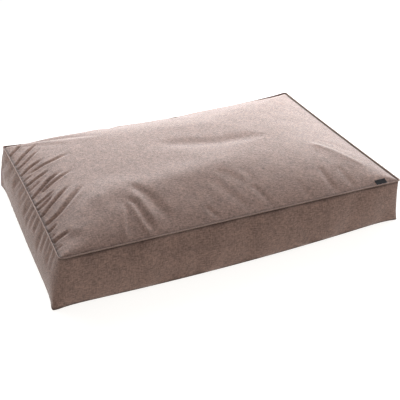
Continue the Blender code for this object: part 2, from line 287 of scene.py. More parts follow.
def along_line(points, line):
    """Distance from each point to a polyline in plan, and how far along it the nearest place is."""
    line = np.array(line, float)
    starts = run_along(line)
    best = np.full(len(points), 1e9)
    share = np.zeros(len(points))
    for a, b, start in zip(line, line[1:], starts):
        length = np.linalg.norm(b - a)
        t = np.clip(((points - a) @ (b - a)) / length**2, 0, 1)
        distance = np.linalg.norm(points - a - t[:, None] * (b - a), axis=1)
        nearer = distance < best
        best = np.where(nearer, distance, best)
        share = np.where(nearer, (start + t * length) / starts[-1], share)
    return best, share


def crease(points, line, height, width, far_width=None, lips=0.0):
    """A soft ridge, or a hollow where height is negative, that widens and fades along its line.

    Lips raise the cloth on both sides of a hollow, as where it is gathered.
    """
    distance, share = along_line(points, line)
    wide = width + ((far_width or width) - width) * share
    fade_in, fade_out = smooth((share + 0.06) / 0.2), smooth((1 - share) / 0.38)
    spread = (distance / wide) ** 2
    return height * (1 - lips * spread) * np.exp(-spread) * (fade_out * fade_in)


def in_metres(folds):
    """The same folds in metres, from places and sizes in millimetres."""
    return [(np.array(line) / 1000, *(size / 1000 for size in sizes)) for line, *sizes in folds]


# The top panel's broad folds, in plan: a line of places, the height and the half width
BROAD_FOLDS = in_metres((
    (((-440, -270), (-398, -209), (-354, -171), (-280, -100)), 5, 26),
    (((-80, 60), (-34, 46), (75, 3), (154, -3), (330, -12)), -4.5, 28),
    (((-200, -30), (-119, -160), (-90, -199), (-50, -235)), -2.2, 18),
    (((-40, -190), (-5, -245), (30, -285), (55, -325)), -3.6, 18),
    (((0, -150), (28, -185), (53, -210), (95, -245)), -3.2, 14),
    (((-246, -118), (-218, -182), (-200, -228), (-195, -310)), -3, 16),
    (((335, -90), (376, -150), (406, -210), (428, -250), (452, -310)), 5.4, 12),
    (((380, -60), (414, -112), (438, -162), (460, -211), (474, -273)), -3.4, 14),
    (((-120, -40), (-58, -88), (-4, -123), (36, -169), (62, -223)), -1.6, 22),
    (((-460, 300), (-382, 287), (-259, 280), (-120, 275), (0, 270)), 5.2, 40),
    (((100, 250), (180, 258), (249, 266), (330, 269), (400, 270)), -4.5, 30),
    (((310, -130), (345, -190), (385, -250), (415, -300)), -2.2, 18),
    (((32, 310), (69, 285), (130, 255)), -6, 22),
    (((-190, 325), (-175, 300), (-140, 270)), -5, 18),
    (((385, 285), (400, 250), (400, 200)), -4, 20),
))

# Narrow gathers that run in from the left end's seam: line, height, half widths at seam and tip
GATHER_LIPS = 1.1
GATHERS = in_metres((
    (((-490, 240), (-480, 252), (-456, 274), (-425, 302)), -5.8, 6, 8),
    (((-488, 178), (-477, 189), (-451, 214), (-395, 262)), -6.1, 6, 8),
    (((-488, 150), (-475, 159), (-447, 176), (-395, 220)), -3.6, 5.5, 7),
    (((-488, 108), (-476, 117), (-447, 136), (-400, 150)), -5, 6, 8),
    (((-455, 104), (-411, 113), (-378, 117), (-325, 132)), -3.4, 6.6, 10),
    (((-488, 74), (-470, 84), (-445, 94)), -2.5, 5, 6),
    (((-488, 42), (-477, 49), (-448, 61), (-400, 74)), -4.6, 6, 8),
    (((-488, 12), (-470, 22), (-430, 44)), -2.7, 5, 6),
    (((-490, -30), (-477, -22), (-449, -1), (-419, 24), (-375, 44)), -6.3, 6, 9),
    (((-456, -22), (-438, -14), (-404, 5), (-345, 32)), -3.6, 5.5, 9),
    (((-490, -70), (-475, -64), (-455, -58), (-415, -38)), -4.2, 5.5, 7),
    (((-490, -96), (-476, -90), (-454, -79), (-420, -48)), -4.2, 5.5, 7),
    (((-490, -134), (-471, -123), (-450, -104), (-404, -67), (-375, -43)), -6.1, 6, 8),
    (((-488, -177), (-467, -169), (-436, -154), (-407, -128), (-340, -60)), -6.1, 7.7, 12),
    (((-490, -214), (-478, -208), (-452, -192)), -4.2, 5.5, 6),
    (((-492, -240), (-480, -236), (-466, -228)), -2.5, 4.4, 6),
    (((-492, -264), (-480, -260), (-460, -252), (-432, -245)), -5, 7.2, 9),
    (((-490, -296), (-478, -292), (-462, -286)), -2.3, 5, 6),
))

# The top panel's folds that are added after it is inflated: a long low crest, then narrow folds
NARROW_FOLDS = in_metres((
    (((-360, -120), (-200, -145), (-20, -130), (200, -80)), 5.6, 54, 54),
    (((-262, -190), (-251, -215), (-246, -253), (-241, -295), (-232, -335)), -2.9, 8.5, 10),
    (((-262, -205), (-262, -240), (-257, -290), (-250, -335)), 2.5, 7, 8),
    (((-272, -210), (-280, -245), (-291, -281), (-305, -335)), -2.8, 7.5, 9),
    (((-285, -215), (-297, -255), (-307, -290), (-322, -335)), 2.6, 8, 10),
    (((-238, -180), (-229, -250), (-219, -312)), 2.3, 9, 10),
    (((-237, -135), (-205, -200), (-190, -270), (-190, -320)), -3.4, 14, 14),
    (((72, -240), (81, -258), (89, -290), (94, -335)), -1.6, 8.5, 10),
    (((-80, -280), (-73, -291), (-56, -330)), -1.6, 6.5, 8),
    (((294, -225), (290, -260), (289, -298), (292, -335)), -2.2, 9, 11),
    (((350, -235), (348, -262), (347, -304), (347, -335)), -1.6, 9, 11),
    (((205, -255), (206, -290), (210, -335)), -1, 9, 11),
))


def broad_folds(plan):
    return sum(crease(plan, *fold) for fold in BROAD_FOLDS)


def narrow_folds(plan):
    gathered = sum(crease(plan, *fold, lips=GATHER_LIPS) for fold in GATHERS)
    return gathered + sum(crease(plan, *fold) for fold in NARROW_FOLDS)


def end_folds(place, height):
    """The same gathers on the left end's border: they run down from its seam, leaning back.

    They lean more towards the back, and deeper gathers run further down.
    """
    random = np.random.RandomState(SEED)
    points = np.stack([place, height], axis=1)
    push = np.zeros(len(place))
    for line, depth, width, _ in GATHERS:
        start = line[0][1] + 0.006 * random.uniform(-1, 1)
        lean = min(max(0.50 + 1.8 * start, 0.12), 1.1)
        drop = random.uniform(0.050, 0.105) * (0.6 + 60 * abs(depth))
        middle = (start + lean * drop / 2, SEAM_Z - drop / 2)
        low = (start + 1.3 * lean * drop, SEAM_Z - drop)
        down = ((start, SEAM_Z), middle, low)
        push += crease(points, down, 0.75 * depth, width + 0.0015, width + 0.006)
    return push


# Soft upright waves of the front border: place along x, how far out, half width, lean per metre
FRONT_WAVES = (
    (-0.395, 0.0023, 0.040, 0.10), (-0.275, 0.0045, 0.022, 0.05), (-0.205, -0.0045, 0.030, 0.10),
    (-0.140, -0.0037, 0.018, 0.15), (-0.080, 0.0037, 0.030, -0.20), (0.010, -0.0030, 0.024, 0.10),
    (0.060, 0.0030, 0.028, 0.25), (0.145, 0.0053, 0.016, 0.75), (0.185, -0.0037, 0.020, 0.60),
    (0.270, 0.0030, 0.030, 0.10), (0.340, -0.0033, 0.026, -0.20), (0.410, 0.0027, 0.028, 0.10),
)
WAVE_SHARE = 0.45        # how much of them is added again after the cloth is inflated


def front_waves(x, height):
    push = np.zeros(len(x))
    for place, out, width, lean in FRONT_WAVES:
        centre = place + lean * (SEAM_Z / 2 - height)
        push += out * np.exp(-(((x - centre) / width) ** 2))
    return push


# ---- The cover's surface ----


def quads(grid, turned=False):
    """Faces over a grid of point numbers; turned ones face the other way."""
    faces = np.stack([grid[:-1, :-1], grid[:-1, 1:], grid[1:, 1:], grid[1:, :-1]], axis=-1)
    return (faces[..., [0, 3, 2, 1]] if turned else faces).reshape(-1, 4)


def rim_of(grid):
    """The grid's rim, in the order of the border's columns."""
    return np.concatenate([grid[0, :-1], grid[:-1, -1], grid[-1, :0:-1], grid[:0:-1, 0]])


def patch(front, right, back, left):
    """A grid of points between four sides, rows of y and columns of x, and each one's shares."""
    back, left = back[::-1], left[::-1]
    u = ((front[:, 0] - front[0, 0]) / (front[-1, 0] - front[0, 0]))[None, :, None]
    v = ((left[:, 1] - left[0, 1]) / (left[-1, 1] - left[0, 1]))[:, None, None]
    across = (1 - v) * front[None] + v * back[None]
    down = (1 - u) * left[:, None] + u * right[:, None]
    corners = (1 - u) * (1 - v) * front[0] + u * (1 - v) * front[-1]
    corners = corners + (1 - u) * v * back[0] + u * v * back[-1]
    return across + down - corners, u[..., 0], v[..., 0]


def top_surface(sides):
    """The top panel between its seams, crowned and folded."""
    points, u, v = patch(*sides)
    x_share, y_share = 2 * u - 1, 2 * v - 1
    steep_y = np.where(y_share > 0, BACK_STEEPNESS, FRONT_STEEPNESS)
    steep_x = np.where(x_share > 0, RIGHT_STEEPNESS, LEFT_STEEPNESS)
    dome = (1 - np.abs(x_share) ** steep_x) * (1 - np.abs(y_share) ** steep_y)
    points[..., 2] += (CROWN - INFLATION) * dome
    lift = broad_folds(points[..., :2].reshape(-1, 2))
    edge = np.minimum((1 - np.abs(x_share)) * HALF_X, (1 - np.abs(y_share)) * HALF_Y)
    points[..., 2] += lift.reshape(dome.shape) * smooth(edge / BROAD_HOLD)
    sink = np.exp(-((edge / SEAM_ROUNDING) ** 2))
    points[..., 2] -= SEAM_DEPTH * sink
    return points


def border_heights():
    """The border's rows from the bottom seam to the top one, and how many are below the slot."""
    near = np.array((0.0, *NEAR_SEAM))
    cells = int(round(SLOT_LOW / BORDER_CELL))
    low = np.concatenate([near[:-1], np.linspace(near[-1], SLOT_LOW, cells)])
    slot = np.linspace(SLOT_LOW, SLOT_HIGH, ROWS_SLOT + 1)
    high = np.concatenate([np.linspace(SLOT_HIGH, SEAM_Z - near[-1], cells), SEAM_Z - near[-2::-1]])
    return np.concatenate([low, slot[1:], high[1:]]), len(low) - 1


def border_surface(top_sides, base_sides):
    """The border's grid: rows from the bottom seam up, columns round the cushion."""
    top, base = closed(top_sides), closed(base_sides)
    normal = outward((top + base) / 2)
    heights = border_heights()[0]
    counts = [len(side) - 1 for side in top_sides]
    side_of = np.repeat(np.arange(4), counts)
    along = np.where(side_of % 2 == 0, base[:, 0] / HALF_X, base[:, 1] / HALF_Y)
    swell = CORNER_SWELL + (MIDDLE_SWELL - CORNER_SWELL) * smooth((1 - np.abs(along)) / SWELL_SHARE)
    cut = np.zeros(len(base))
    for depth, side in zip(CORNER_CUT, base_sides):
        gap = np.linalg.norm((base - side[0])[:, :2], axis=1)
        cut += depth * np.exp(-((gap / CUT_REACH) ** 2))
    rows = []
    for z in heights:
        t = z / SEAM_Z
        row = base + (top - base) * t
        push = (swell - cut) * math.sin(math.pi * t) ** SWELL_POWER
        hold = smooth(t / 0.06) * smooth((1 - t) / 0.08)
        push += np.where(side_of == 0, front_waves(base[:, 0], z), 0) * hold
        sink = math.exp(-(((SEAM_Z - z) / SEAM_ROUNDING) ** 2))
        row = row + normal * (push - SEAM_IN * sink)[:, None] - np.array((0, 0, SEAM_DEPTH * sink))
        rows.append(row)
    rows = np.array(rows)
    flatten_at_zip(rows, side_of, heights)
    return rows, side_of


def flatten_at_zip(rows, side_of, heights):
    """Brings the back of the border to the zip's flat face at the slot."""
    half = (SLOT_HIGH - SLOT_LOW) / 2
    near = smooth(1 - (np.abs(heights - ZIP_Z) - half - ZIP_FLAT[1]) / ZIP_RUN_OUT[1])[:, None]
    inside = smooth((BACK_HALF + ZIP_FLAT[0] - np.abs(rows[..., 0])) / ZIP_RUN_OUT[0])
    pull = near * inside * (side_of == 2)[None]
    rows[..., 1] += pull * (BACK_FACE - rows[..., 1])
    rows[..., 2] += pull * (heights[:, None] - rows[..., 2])


class Cover:
    """The whole cover as one cloth: the top panel's grid and the border, joined at the seam."""

    def __init__(self):
        top_sides = seam_line(TOP_RADII, TOP_BOWS, TOP_SAGS, TOP_SHIFTS, SEAM_Z, TOP_EAR)
        self.base_sides = seam_line(BASE_RADII, BASE_BOWS, (0, 0, 0, 0), BASE_SHIFTS, BASE_LIFT, BASE_EAR)
        top = top_surface(top_sides)
        border, self.side_of = border_surface(top_sides, self.base_sides)
        self.border_shape = border.shape[:2]
        self.slot_rows = (border_heights()[1], border_heights()[1] + ROWS_SLOT)
        self.ring = len(self.side_of)
        below = border[:-1].reshape(-1, 3)
        self.points = np.concatenate([top.reshape(-1, 3), below])
        self.top_index = np.arange(top[..., 0].size).reshape(top.shape[:2])
        lower = self.ring * np.arange(self.border_shape[0] - 1)[:, None]
        lower = self.top_index.size + lower + np.arange(self.ring)[None]
        self.border_index = np.concatenate([lower, rim_of(self.top_index)[None]])

    def faces(self):
        return np.concatenate([quads(self.top_index), border_faces(self.border_index)])

    def held(self):
        """The points that seams hold while the cloth is inflated."""
        back = self.side_of == 2
        parts = [self.border_index[0], self.border_index[-1]]
        parts += [self.border_index[row][back] for row in range(self.slot_rows[0], self.slot_rows[1] + 1)]
        return np.unique(np.concatenate(parts))


def border_faces(grid):
    """Faces over rows of points that go all the way round."""
    return quads(np.concatenate([grid, grid[:, :1]], axis=1))


def new_object(name, data):
    made = bpy.data.objects.new(name, data)
    bpy.context.scene.collection.objects.link(made)
    return made


def new_mesh(name, points, faces):
    mesh = bpy.data.meshes.new(name)
    mesh.from_pydata([tuple(p) for p in np.asarray(points, float)], [], [list(f) for f in faces])
    mesh.update()
    return new_object(name, mesh)


def read_points(mesh, what="co"):
    flat = np.empty(len(mesh.vertices) * 3)
    mesh.vertices.foreach_get(what, flat)
    return flat.reshape(-1, 3)


CLOTH_SETTINGS = {
    "vertex_group_mass": "pins", "quality": 6, "mass": 0.25,
    "tension_stiffness": 30, "compression_stiffness": 30, "shear_stiffness": 10,
    "bending_stiffness": 0.8, "use_pressure": True, "uniform_pressure_force": 4.0,
}


def inflate(cover, steps=20):
    """Cloth simulation under pressure, with the seams held; returns the settled points."""
    rest = cover.points
    cloth_object = new_mesh("cloth_work", rest, cover.faces())
    pins = cloth_object.vertex_groups.new(name="pins")
    pins.add([int(i) for i in cover.held()], 1.0, "REPLACE")
    modifier = cloth_object.modifiers.new("cloth", "CLOTH")
    for key, value in CLOTH_SETTINGS.items():
        setattr(modifier.settings, key, value)
    modifier.settings.effector_weights.gravity = 0.0
    scene = bpy.context.scene
    modifier.point_cache.frame_start = 1
    modifier.point_cache.frame_end = steps
    for number in range(1, steps + 1):
        scene.frame_set(number)
    evaluated = cloth_object.evaluated_get(bpy.context.evaluated_depsgraph_get())
    settled = read_points(evaluated.data)
    bpy.data.objects.remove(cloth_object, do_unlink=True)
    scene.frame_set(1)
    move = settled - rest
    size = np.linalg.norm(move, axis=1, keepdims=True)
    return rest + move * np.minimum(1, MOST_MOVE / np.maximum(size, 1e-9))


# ---- Turning the cover into panels ----


def finer(name, points, faces, coordinates, levels=1):
    """A subdivided copy of part of the cover, with its cloth coordinates, as a new object."""
    used, compact = np.unique(faces, return_inverse=True)
    made = new_mesh(name + "_coarse", points[used], compact.reshape(faces.shape))
    store_cloth(made.data, coordinates[used])
    step = made.modifiers.new("finer", "SUBSURF")
    step.levels = step.render_levels = levels
    evaluated = made.evaluated_get(bpy.context.evaluated_depsgraph_get())
    mesh = bpy.data.meshes.new_from_object(evaluated)
    mesh.name = name
    bpy.data.objects.remove(made, do_unlink=True)
    mesh.shade_smooth()
    return new_object(name, mesh)


def store_cloth(mesh, coordinates):
    """Where each point lies on its flat cloth, in metres, for the weave."""
    layer = mesh.attributes.new("cloth", "FLOAT_VECTOR", "POINT")
    layer.data.foreach_set("vector", np.asarray(coordinates, np.float32).ravel())


def push_out(mesh, amount):
    """Moves each point along its own normal."""
    moved = read_points(mesh) + read_points(mesh, "normal") * amount[:, None]
    mesh.vertices.foreach_set("co", moved.ravel())
    mesh.update()


def ripples(coordinates, size, seed):
    """Smooth noise over the cloth, from about -1 to 1, with waves of the given size."""
    offset = Vector((seed * 3.1, seed * 5.7, seed * 1.3))
    return np.array([noise.noise(Vector(c) / size + offset) for c in coordinates]) * 1.6


def seam_distance(points, seam_points):
    tree = KDTree(len(seam_points))
    for i, p in enumerate(seam_points):
        tree.insert(p, i)
    tree.balance()
    return np.array([tree.find(p)[2] for p in points])


def add_folds(piece, seam_points):
    """Unevenness with tighter puckers beside the seams, then narrow folds, gathers and waves; also stores
    the mask for painted shade beside the seams.
    """
    mesh = piece.data
    points = read_points(mesh)
    x, y, z = points.T
    distance = seam_distance(points, seam_points)
    amount = UNEVEN * ripples(points, UNEVEN_WAVE, 1) * smooth(distance / 0.030)
    beside = np.exp(-distance / PUCKER_REACH) * smooth(distance / 0.004)
    puckers = PUCKER + END_PUCKER * smooth((-x + END_START[0]) / END_START[1])
    amount += puckers * beside * ripples(points, PUCKER_WAVE, 3)
    on_top = piece.name == "cover_top_panel"
    if on_top:
        amount += narrow_folds(points[:, :2]) * smooth(distance / FOLD_HOLD)
    if piece.name == "cover_side_border":
        at_end, at_front, _ = smooth((-read_points(mesh, "normal") - FACING[0]) / FACING[1]).T
        amount += at_end * end_folds(y, z) * smooth(distance / FOLD_HOLD)
        hold = smooth(z / WAVE_HOLD) * smooth(distance / WAVE_HOLD)
        amount += WAVE_SHARE * at_front * hold * front_waves(x, z)
    push_out(mesh, amount)
    # Mask for painted shade: the shadow in the crease beside each seam, darkened into the colour
    layer = mesh.attributes.new("seam", "FLOAT", "POINT")
    reach = TOP_PAINTED_SHADE_REACH if on_top else BORDER_PAINTED_SHADE_REACH
    layer.data.foreach_set("value", np.exp(-((distance / reach) ** 2)).astype(np.float32))


def thicken(piece, thickness=CLOTH):
    layer = piece.modifiers.new("thickness", "SOLIDIFY")
    layer.thickness = thickness
    layer.offset = -1


def dense_ring(ring, step):
    """A closed ring of points, resampled evenly."""
    ring = np.concatenate([ring, ring[:1]])
    places = run_along(ring)
    count = int(round(places[-1] / step))
    wanted = np.linspace(0, places[-1], count, endpoint=False)
    return np.stack([np.interp(wanted, places, ring[:, k]) for k in range(3)], axis=1)


def swept(name, bodies, joined=False):
    """One object from bodies made of closed loops of points; each has flat ends unless joined."""
    faces = []
    for number, loops in enumerate(bodies):
        count, around = loops.shape[:2]
        index = number * count * around + np.arange(count * around).reshape(count, around)
        rows = np.concatenate([index, index[:1]]) if joined else index
        faces += quads(np.concatenate([rows, rows[:, :1]], axis=1), turned=True).tolist()
        if not joined:
            faces += [index[0].tolist(), index[-1][::-1].tolist()]
    made = new_mesh(name, np.array(bodies).reshape(-1, 3), faces)
    made.data.shade_smooth()
    return made


# A stitch's rings of points: place along it, thickness and rise, as shares of its size
STITCH_RINGS = (
    (-0.5, 0.25, -0.9), (-0.38, 0.85, -0.2), (0.0, 1.0, 0.15), (0.38, 0.85, -0.2), (0.5, 0.25, -0.9),
)
STITCH_SIDES = 6


def stitch_points():
    """Rings of points along X for a short round thread that dips at both ends, with Z up."""
    turn = -2 * math.pi * np.arange(STITCH_SIDES) / STITCH_SIDES
    rings = []
    for place, size, rise in STITCH_RINGS:
        side = np.cos(turn) * size * THREAD_RADIUS
        up = (np.sin(turn) * size + rise) * THREAD_RADIUS
        rings.append(np.stack([np.full(STITCH_SIDES, place * STITCH), side, up], axis=1))
    return np.array(rings)


def stitch_row(name, line, tree, joined=True):
    """Stitches lying on a surface along a line of points."""
    path = np.concatenate([line, line[:1]]) if joined else line
    places = run_along(path)
    count = int(places[-1] // (STITCH + STITCH_GAP))
    middles = (np.arange(count) + 0.5) * places[-1] / count
    body = stitch_points()
    bodies = []
    for middle in middles:
        hits = []
        for place in (middle - STITCH / 2, middle + STITCH / 2):
            end = Vector([np.interp(place, places, path[:, k]) for k in range(3)])
            hits.append(tree.find_nearest(end))
        a, b = hits[0][0], hits[1][0]
        normal = (hits[0][1] + hits[1][1]).normalized()
        forward = (b - a).normalized()
        side = normal.cross(forward).normalized()
        normal = forward.cross(side)
        middle_point = (a + b) / 2 + normal * THREAD_RADIUS / 2
        bodies.append(body @ np.array((forward, side, normal)) + middle_point)
    return swept(name, bodies)


def surface_tree(*pieces):
    points, faces = [], []
    for piece in pieces:
        start = len(points)
        points += [v.co.copy() for v in piece.data.vertices]
        faces += [[start + i for i in f.vertices] for f in piece.data.polygons]
    return BVHTree.FromPolygons(points, faces)


# ---- The cover's panels ----


def cloth_coordinates(cover):
    """Flat places on the cloth: the plan for the top panel, and length by height on the border."""
    top = cover.points[cover.top_index.ravel()].copy()
    top[:, 2] = 0
    border = np.zeros((*cover.border_shape, 3))
    border[..., 0] = run_along(cover.points[cover.border_index[0]])[None]
    border[..., 1] = border_heights()[0][:, None]
    return top, border.reshape(-1, 3)


def make_panels(cover, points):
    """The top panel, the side border and the two halves of the back border."""
    top_places, border_places = cloth_coordinates(cover)
    border_points = points[cover.border_index.ravel()]
    grid = np.arange(cover.border_index.size).reshape(cover.border_shape)
    back = np.flatnonzero((cover.side_of == 2) & (np.abs(border_points[: cover.ring, 0]) < BACK_HALF))
    around = np.concatenate([np.arange(back[-1], cover.ring), np.arange(0, back[0] + 1)])
    slot = cover.slot_rows
    cuts = {
        "cover_side_border": grid[:, around],
        "cover_back_border_lower": grid[: slot[0] + 1, back],
        "cover_back_border_upper": grid[slot[1] :, back],
    }
    pieces = {"cover_top_panel": finer("cover_top_panel", points, quads(cover.top_index), top_places)}
    for name, part in cuts.items():
        pieces[name] = finer(name, border_points, quads(part), border_places)
    return pieces


def make_bottom(cover):
    """The bottom panel: flat where it rests, and lifted a little at its seam."""
    points, u, v = patch(*cover.base_sides)
    edge = np.minimum(np.minimum(u, 1 - u) * 2 * HALF_X, np.minimum(v, 1 - v) * 2 * HALF_Y)
    points[..., 2] = BASE_LIFT * (1 - smooth(edge / BASE_LIFT_REACH))
    index = np.arange(points[..., 0].size).reshape(points.shape[:2])
    flat = points.reshape(-1, 3)
    return finer("cover_bottom_panel", flat, quads(index, turned=True), flat * (1, 1, 0), levels=0)


def make_welt(ring):
    """The narrow ridge of folded cloth that stands out of the top seam."""
    ring = dense_ring(ring, WELT_STEP)
    out = outward(ring)
    root = math.atan2(WELT_ROOT[1] - WELT_UP, WELT_ROOT[0] - WELT_OUT)
    angles = root + np.linspace(math.radians(50), math.radians(310), 9)
    profile = [WELT_ROOT]
    for angle in angles:
        profile.append((WELT_RADIUS * math.cos(angle) + WELT_OUT, WELT_RADIUS * math.sin(angle) + WELT_UP))
    around = len(profile)
    loops = np.stack([ring + out * wide + (0, 0, tall) for wide, tall in profile], axis=1)
    piece = swept("top_seam_welt", [loops], joined=True)
    mesh = piece.data
    places = read_points(mesh)
    along = run_along(np.r_[ring, ring[:1]])[1:]
    round_it = np.tile(np.arange(around) * WELT_GIRTH_STEP, len(ring))
    push_out(mesh, 0.00018 * ripples(places, 0.006, 9) + 0.00015 * ripples(places, 0.020, 10))
    store_cloth(mesh, np.stack([np.repeat(along, around), round_it, 0 * round_it], axis=1))
    return piece


def make_label(top_tree):
    """The small cloth label: it comes out of the front seam and lies on the top panel."""
    low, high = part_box("label_tag")
    columns, rows = 34, 16
    shares = np.linspace(0, 1, rows + 1)
    top = np.zeros((rows + 1, columns + 1, 3))
    for i, share in enumerate(shares):
        y = low.y - LABEL_TUCK + (high.y - low.y + LABEL_TUCK) * share
        for j, x in enumerate(np.linspace(low.x, high.x, columns + 1)):
            hit = top_tree.ray_cast(Vector((x, y, 1.0)), Vector((0, 0, -1)))[0]
            top[i, j] = (x, y, (hit.z if hit else SEAM_Z) + LABEL_GAP)
    for _ in range(30):
        height = top[..., 2]
        inner = (height[:-2, 1:-1] + height[2:, 1:-1] + height[1:-1, :-2] + height[1:-1, 2:]) / 4
        height[1:-1, 1:-1] = np.maximum(height[1:-1, 1:-1], inner)
    curl = smooth((shares[:, None] - 0.55) / 0.45)
    top[..., 2] += LABEL_CURL * curl * np.linspace(0.4, 1.0, columns + 1)[None] ** 2
    index = np.arange(top[..., 0].size).reshape(top.shape[:2])
    flat = top.reshape(-1, 3)
    rim = rim_of(index)
    under = rim + len(flat)
    walls = np.stack([rim, under, np.roll(under, -1), np.roll(rim, -1)], axis=-1)
    points = np.concatenate([flat, flat - (0, 0, LABEL_CLOTH)])
    everything = np.concatenate([quads(index), quads(index)[:, ::-1] + len(flat), walls])
    made = new_mesh("woven_label", points + (0, 0, LABEL_CLOTH), everything)
    made.data.shade_smooth()
    made.data.set_sharp_from_angle(angle=math.radians(50))
    store_cloth(made.data, points)
    return made


# ---- The zip ----


def make_tape(name, node):
    """A woven zip tape, with the ribbed edge that its coil is sewn to."""
    low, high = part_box(node)
    upper = (low.z + high.z) / 2 > ZIP_Z
    wide, thick = high.z - low.z, high.y - low.y
    # shares of the tape's width from its coil edge, and how far ribs rise there
    shares = (0.0, 0.10, 0.22, 0.30, 0.38, 0.60, 0.85, 1.0)
    ribs = (0.0, 0.30, 0.30, -0.10, 0.25, -0.05, 0.0, -0.15)
    outer = [(wide * s, thick / 2 + r * thick * 0.6) for s, r in zip(shares, ribs)]
    inner = [(wide * s, -thick / 2) for s in shares[::-1]]
    profile = [(z if upper else -z, y) for z, y in outer + inner]
    if not upper:
        profile = profile[::-1]
    start = (0, (low.y + high.y) / 2, low.z if upper else high.z)
    line = np.linspace(low.x, high.x, 240)[:, None] * (1, 0, 0) + start
    loops = line[:, None] + [[0, y, z] for z, y in profile]
    made = swept(name, [loops])
    store_cloth(made.data, loops.reshape(-1, 3)[:, [0, 2, 1]])
    made.data.set_sharp_from_angle(angle=math.radians(60))
    return made


def make_teeth(name, node):
    """The coil: a continuous nylon wire wound along the tape's edge."""
    low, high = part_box(node)
    upper = (low.z + high.z) / 2 > ZIP_Z
    turns = int((high.x - low.x) / TOOTH_PITCH)
    per_turn, around = 10, 5
    t = np.linspace(0, 2 * math.pi * turns, turns * per_turn + 1)
    x = low.x + (high.x - low.x) * t / t[-1]
    half_z = (high.z - low.z) / 2 - WIRE_RADIUS + TOOTH_OVERLAP
    half_y = (high.y - low.y) / 2 - WIRE_RADIUS
    sign = 1 if upper else -1
    middle_z = (low.z + high.z) / 2 - sign * TOOTH_OVERLAP
    wave = t + (0.0 if upper else math.pi)
    z = middle_z - sign * half_z * np.cos(wave)
    y = (low.y + high.y) / 2 + half_y * np.sin(wave)
    line = np.stack([x, y, z], axis=1)
    tangent = np.gradient(line, axis=0)
    tangent /= np.linalg.norm(tangent, axis=1, keepdims=True)
    first = np.cross(tangent, (1.0, 0.0, 0.0))
    first /= np.linalg.norm(first, axis=1, keepdims=True)
    second = np.cross(tangent, first)
    loops = []
    for k in range(around):
        angle = -2 * math.pi * k / around
        loops.append(line + WIRE_RADIUS * (first * math.cos(angle) + second * math.sin(angle)))
    return swept(name, [np.stack(loops, axis=1)])


def make_end_tab(name, node):
    """A folded cloth tab sewn over one end of the zip's slot."""
    low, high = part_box(node)
    columns, rows = 20, 12
    x = np.linspace(low.x, high.x, columns + 1)
    z = np.linspace(low.z - TAB_MARGIN, high.z + TAB_MARGIN, rows + 1)
    grid_x, grid_z = np.meshgrid(x, z)
    across = np.minimum(grid_x - low.x, high.x - grid_x)
    edge = np.minimum(across, np.minimum(grid_z - z[0], z[-1] - grid_z))
    hem = np.exp(-((edge - 0.0032) / 0.0008) ** 2)
    y = high.y + 0.0004 + 0.0010 * smooth(edge / 0.0020) - 0.0005 * hem
    flat = np.stack([grid_x, y, grid_z], axis=-1).reshape(-1, 3)
    index = np.arange(len(flat)).reshape(rows + 1, columns + 1)
    made = new_mesh(name, flat, quads(index, turned=True))
    store_cloth(made.data, flat[:, [0, 2, 1]])
    made.data.shade_smooth()
    thicken(made, TAB_CLOTH)
    return made


def round_edges(piece):
    """Softens a metal CAD part's edges without touching its mesh."""
    weld = piece.modifiers.new("weld", "WELD")
    weld.merge_threshold = 0.00002
    bevel = piece.modifiers.new("edges", "BEVEL")
    bevel.width = METAL_EDGE
    bevel.segments = 2
    bevel.limit_method = "ANGLE"
    bevel.angle_limit = math.radians(35)


# ---- The inner cushion ----


def shrink(points, centre_height, by):
    """Moves points in from the cover towards the cushion's middle, and further in near the floor."""
    height = points[:, 2]
    level = by + FLOOR_INSET * (1 - smooth(height / FLOOR_REACH))
    moved = points * 1.0
    moved[:, 0] *= 1 - level / HALF_X
    moved[:, 1] *= 1 - level / HALF_Y
    moved[:, 2] = centre_height + (height - centre_height) * (1 - by / centre_height)
    return moved


def under_folds(cover, points):
    """The cover's points, pressed in where its narrow folds dip."""
    pressed = points.copy()
    top = cover.top_index.ravel()
    pressed[top, 2] += np.minimum(narrow_folds(points[top, :2]), 0)
    end = cover.border_index[:-1][:, cover.side_of == 3].ravel()
    pressed[end, 0] -= np.minimum(end_folds(points[end, 1], points[end, 2]), 0)
    return pressed


def make_inner(cover, points):
    """The inner case's two halves, and the fibre that fills them."""
    middle = SEAM_Z / 2
    grid = cover.top_index[::2, ::2]
    ring_order = {int(v): i for i, v in enumerate(cover.border_index[-1])}
    columns = np.array([ring_order[int(v)] for v in rim_of(grid)])
    split = cover.slot_rows[0] + ROWS_SLOT // 2
    upper = cover.border_index[split:, columns]
    lower = cover.border_index[: split + 1, columns]
    base = points[grid.ravel()] * (1, 1, 0)
    base_index = len(points) + np.arange(grid.size).reshape(grid.shape)
    everything = np.concatenate([points, base])
    base_rim = rim_of(base_index)
    everything[base_rim] = points[lower[0]]
    skirt = np.concatenate([base_rim[None], lower[1:]])
    halves = {
        "inner_case_upper_cloth": np.concatenate([quads(grid), border_faces(upper)]),
        "inner_case_lower_cloth": np.concatenate([quads(base_index, turned=True), border_faces(skirt)]),
    }
    flat = everything * (1, 1, 0)
    made = []
    for name, faces in halves.items():
        piece = finer(name, shrink(everything, middle, CASE_INSET), faces, flat, levels=0)
        thicken(piece, CASE_CLOTH)
        made.append(piece)
    whole = np.concatenate(list(halves.values()))
    fill = finer("fibre_filling", shrink(everything, middle, FILL_INSET), whole, flat, levels=0)
    push_out(fill.data, -FILL_SETTLE + TUFTS * ripples(read_points(fill.data), TUFT_WAVE, 20))
    return made, fill


# ---- Materials ----


